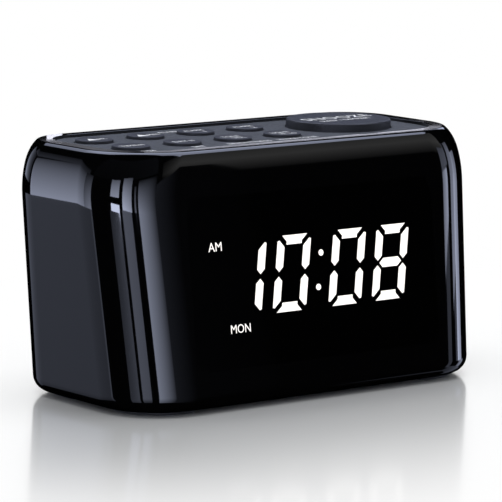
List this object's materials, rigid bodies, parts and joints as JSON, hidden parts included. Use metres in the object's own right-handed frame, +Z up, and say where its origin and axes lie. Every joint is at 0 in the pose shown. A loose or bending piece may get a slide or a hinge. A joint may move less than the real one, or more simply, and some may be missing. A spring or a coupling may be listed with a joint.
{
  "type": "alarm clock",
  "caption": "Small digital alarm clock with a leaning glossy body, lit front display, round keys and a large round snooze button on a recessed top panel.",
  "frame": {"origin": "middle of the bounding box at the underside of the pads, on the table", "axes": "+X along the width, to the right seen from the front; -Y towards the front (display); +Z up"},
  "size_m": [0.1496, 0.0725, 0.0833],
  "materials": {
    "housing_gloss": "high gloss black moulding",
    "lens_smoke": "polished smoked window",
    "segment_glow": "lit warm white window",
    "panel_matte": "fine matte charcoal",
    "key_matte": "fine matte charcoal",
    "cover_matte": "spark-textured black",
    "inner_black": "moulded black",
    "plunger_plastic": "natural moulded",
    "diffuser_film": "milky film",
    "led_chip": "encapsulated chip",
    "circuit_board": "green solder mask",
    "component_plastic": "moulded black",
    "screw_steel": "black zinc",
    "socket_steel": "nickel plated",
    "speaker_paper": "black paper pulp",
    "speaker_felt": "black dust cloth",
    "foam_black": "closed-cell foam",
    "magnet_ferrite": "ground ferrite",
    "ribbon_white": "white film",
    "lead_sleeve": "vinyl sleeve",
    "pad_rubber": "soft rubber"
  },
  "bodies": {
    "root": {"board_components": "component_plastic", "cell_contacts": "socket_steel", "cell_leads": "lead_sleeve", "coin_cell": "socket_steel", "display_board": "circuit_board", "display_components": "component_plastic", "display_diffuser": "diffuser_film", "display_leds": "led_chip", "display_lens": "lens_smoke", "display_reflector": "inner_black", "display_ribbon": "ribbon_white", "display_screws": "screw_steel", "key_board": "circuit_board", "key_board_components": "component_plastic", "key_board_screws": "screw_steel", "key_ribbon": "ribbon_white", "lit_segments": "segment_glow", "main_board": "circuit_board", "main_board_screws": "screw_steel", "main_housing": "housing_gloss", "pad_front_left": "pad_rubber", "pad_front_right": "pad_rubber", "pad_rear_left": "pad_rubber", "pad_rear_right": "pad_rubber", "power_socket": "socket_steel", "rear_cover": "cover_matte", "rear_cover_screws": "screw_steel", "speaker_cone": "speaker_paper", "speaker_frame": "inner_black", "speaker_gasket": "foam_black", "speaker_leads": "lead_sleeve", "speaker_magnet": "magnet_ferrite", "speaker_screen": "speaker_felt", "speaker_screws": "screw_steel", "switch_bodies": "inner_black", "top_panel": "panel_matte", "unlit_segments": "lens_smoke"},
    "key_front_1": {"key_front_1": "key_matte", "plunger_front_1": "plunger_plastic"},
    "key_front_2": {"key_front_2": "key_matte", "plunger_front_2": "plunger_plastic"},
    "key_front_3": {"key_front_3": "key_matte", "plunger_front_3": "plunger_plastic"},
    "key_front_4": {"key_front_4": "key_matte", "plunger_front_4": "plunger_plastic"},
    "key_rear_1": {"key_rear_1": "key_matte", "plunger_rear_1": "plunger_plastic"},
    "key_rear_2": {"key_rear_2": "key_matte", "plunger_rear_2": "plunger_plastic"},
    "key_rear_3": {"key_rear_3": "key_matte", "plunger_rear_3": "plunger_plastic"},
    "key_rear_4": {"key_rear_4": "key_matte", "plunger_rear_4": "plunger_plastic"},
    "snooze": {"snooze_button": "key_matte", "snooze_plunger": "plunger_plastic"},
    "battery_cap": {"battery_cap": "cover_matte"}
  },
  "joints": [
    {"name": "press_key_front_1", "type": "slide", "parent": "root", "child": "key_front_1", "axis": [0, 0, -1], "range_m": [0, 0.0005], "stiffness_N_per_m": 3000},
    {"name": "press_key_front_2", "type": "slide", "parent": "root", "child": "key_front_2", "axis": [0, 0, -1], "range_m": [0, 0.0005], "stiffness_N_per_m": 3000},
    {"name": "press_key_front_3", "type": "slide", "parent": "root", "child": "key_front_3", "axis": [0, 0, -1], "range_m": [0, 0.0005], "stiffness_N_per_m": 3000},
    {"name": "press_key_front_4", "type": "slide", "parent": "root", "child": "key_front_4", "axis": [0, 0, -1], "range_m": [0, 0.0005], "stiffness_N_per_m": 3000},
    {"name": "press_key_rear_1", "type": "slide", "parent": "root", "child": "key_rear_1", "axis": [0, 0, -1], "range_m": [0, 0.0005], "stiffness_N_per_m": 3000},
    {"name": "press_key_rear_2", "type": "slide", "parent": "root", "child": "key_rear_2", "axis": [0, 0, -1], "range_m": [0, 0.0005], "stiffness_N_per_m": 3000},
    {"name": "press_key_rear_3", "type": "slide", "parent": "root", "child": "key_rear_3", "axis": [0, 0, -1], "range_m": [0, 0.0005], "stiffness_N_per_m": 3000},
    {"name": "press_key_rear_4", "type": "slide", "parent": "root", "child": "key_rear_4", "axis": [0, 0, -1], "range_m": [0, 0.0005], "stiffness_N_per_m": 3000},
    {"name": "press_snooze", "type": "slide", "parent": "root", "child": "snooze", "axis": [0, 0, -1], "range_m": [0, 0.0008], "stiffness_N_per_m": 3000},
    {"name": "turn_battery_cap", "type": "hinge", "parent": "root", "child": "battery_cap", "pos_m": [-0.028, 0.002, 0.0012], "axis": [0, 0, 1], "range_deg": [0, 45]}
  ]
}
